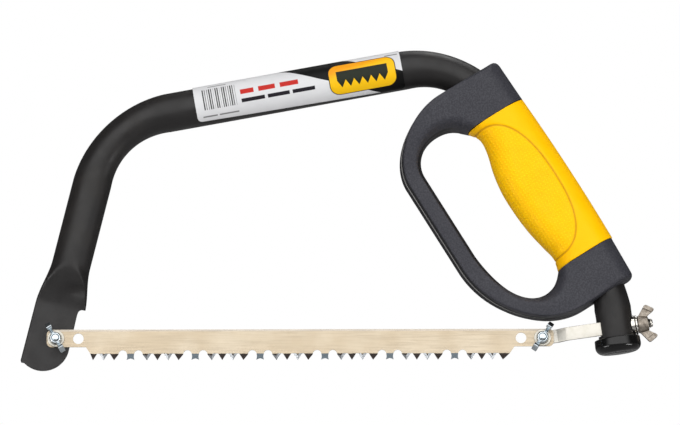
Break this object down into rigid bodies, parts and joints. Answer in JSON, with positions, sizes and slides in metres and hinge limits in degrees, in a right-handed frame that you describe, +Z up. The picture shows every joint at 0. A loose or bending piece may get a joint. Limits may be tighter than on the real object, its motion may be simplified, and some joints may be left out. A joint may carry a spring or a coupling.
{
  "type": "bow saw",
  "caption": "Bow saw with a bent tube frame, a closed D handle with soft grip pads, a coarse raker-tooth blade and a wing-nut tensioner.",
  "frame": {"origin": "middle of the lowest face of the saw's box", "axes": "+Z up with the blade level and its teeth down, +X from the toe towards the handle, -Y the side with the blade's wing nuts"},
  "size_m": [0.3842, 0.0332, 0.1946],
  "materials": {
    "black_coat": "satin black powder coat",
    "black_vinyl": "glossy dipped vinyl",
    "label_paper": "printed film, white ground",
    "black_plastic": "finely textured moulding",
    "yellow_rubber": "soft moulded rubber, dotted panel",
    "zinc_plate": "bright zinc plate",
    "blade_steel": "rolled strip with a warm protective lacquer, hardened dark teeth",
    "nickel_plate": "bright nickel plate",
    "cast_zinc": "tumbled zinc casting"
  },
  "bodies": {
    "frame": {"frame_tube": "black_coat", "tube_end_cap": "black_vinyl", "tube_label": "label_paper", "handle_half_near": "black_plastic", "handle_half_far": "black_plastic", "grip_pad_near": "yellow_rubber", "grip_pad_far": "yellow_rubber", "handle_screw_1": "zinc_plate", "handle_screw_2": "zinc_plate", "handle_screw_3": "zinc_plate", "handle_screw_4": "zinc_plate", "front_blade_screw": "zinc_plate", "saddle_washer": "nickel_plate"},
    "tensioner": {"tension_strap": "nickel_plate", "tension_stud": "nickel_plate", "blade": "blade_steel", "rear_blade_screw": "zinc_plate"},
    "tension_nut": {"tension_wing_nut": "cast_zinc", "tension_washer": "nickel_plate"},
    "front_washer_body": {"front_washer": "zinc_plate"},
    "front_nut": {"front_wing_nut": "zinc_plate"},
    "rear_washer_body": {"rear_washer": "zinc_plate"},
    "rear_nut": {"rear_wing_nut": "zinc_plate"}
  },
  "joints": [
    {"name": "tension_nut_turn", "type": "hinge", "parent": "frame", "child": "tension_nut", "pos_m": [0.16606, 0, 0.02523], "axis": [0.9903, 0, 0.1392], "range_deg": [0, 433]},
    {"name": "tensioner_slide", "type": "slide", "parent": "frame", "child": "tensioner", "axis": [0.9903, 0, 0.1392], "range_m": [-0.0012, 0]},
    {"name": "front_washer_slide", "type": "slide", "parent": "frame", "child": "front_washer_body", "axis": [0, -1, 0], "range_m": [0, 0.0024]},
    {"name": "front_nut_turn", "type": "hinge", "parent": "front_washer_body", "child": "front_nut", "pos_m": [-0.17071, 0, 0.01905], "axis": [0, -1, 0], "range_deg": [0, 1080]},
    {"name": "rear_washer_slide", "type": "slide", "parent": "tensioner", "child": "rear_washer_body", "axis": [0, -1, 0], "range_m": [0, 0.0024]},
    {"name": "rear_nut_turn", "type": "hinge", "parent": "rear_washer_body", "child": "rear_nut", "pos_m": [0.12209, 0, 0.01905], "axis": [0, -1, 0], "range_deg": [0, 1080]}
  ],
  "couplings": [
    {"joint": "tension_nut_turn", "follows": "tensioner_slide", "rad_per_m": -6283.2},
    {"joint": "front_washer_slide", "follows": "front_nut_turn", "m_per_rad": 0.00012732},
    {"joint": "rear_washer_slide", "follows": "rear_nut_turn", "m_per_rad": 0.00012732}
  ]
}
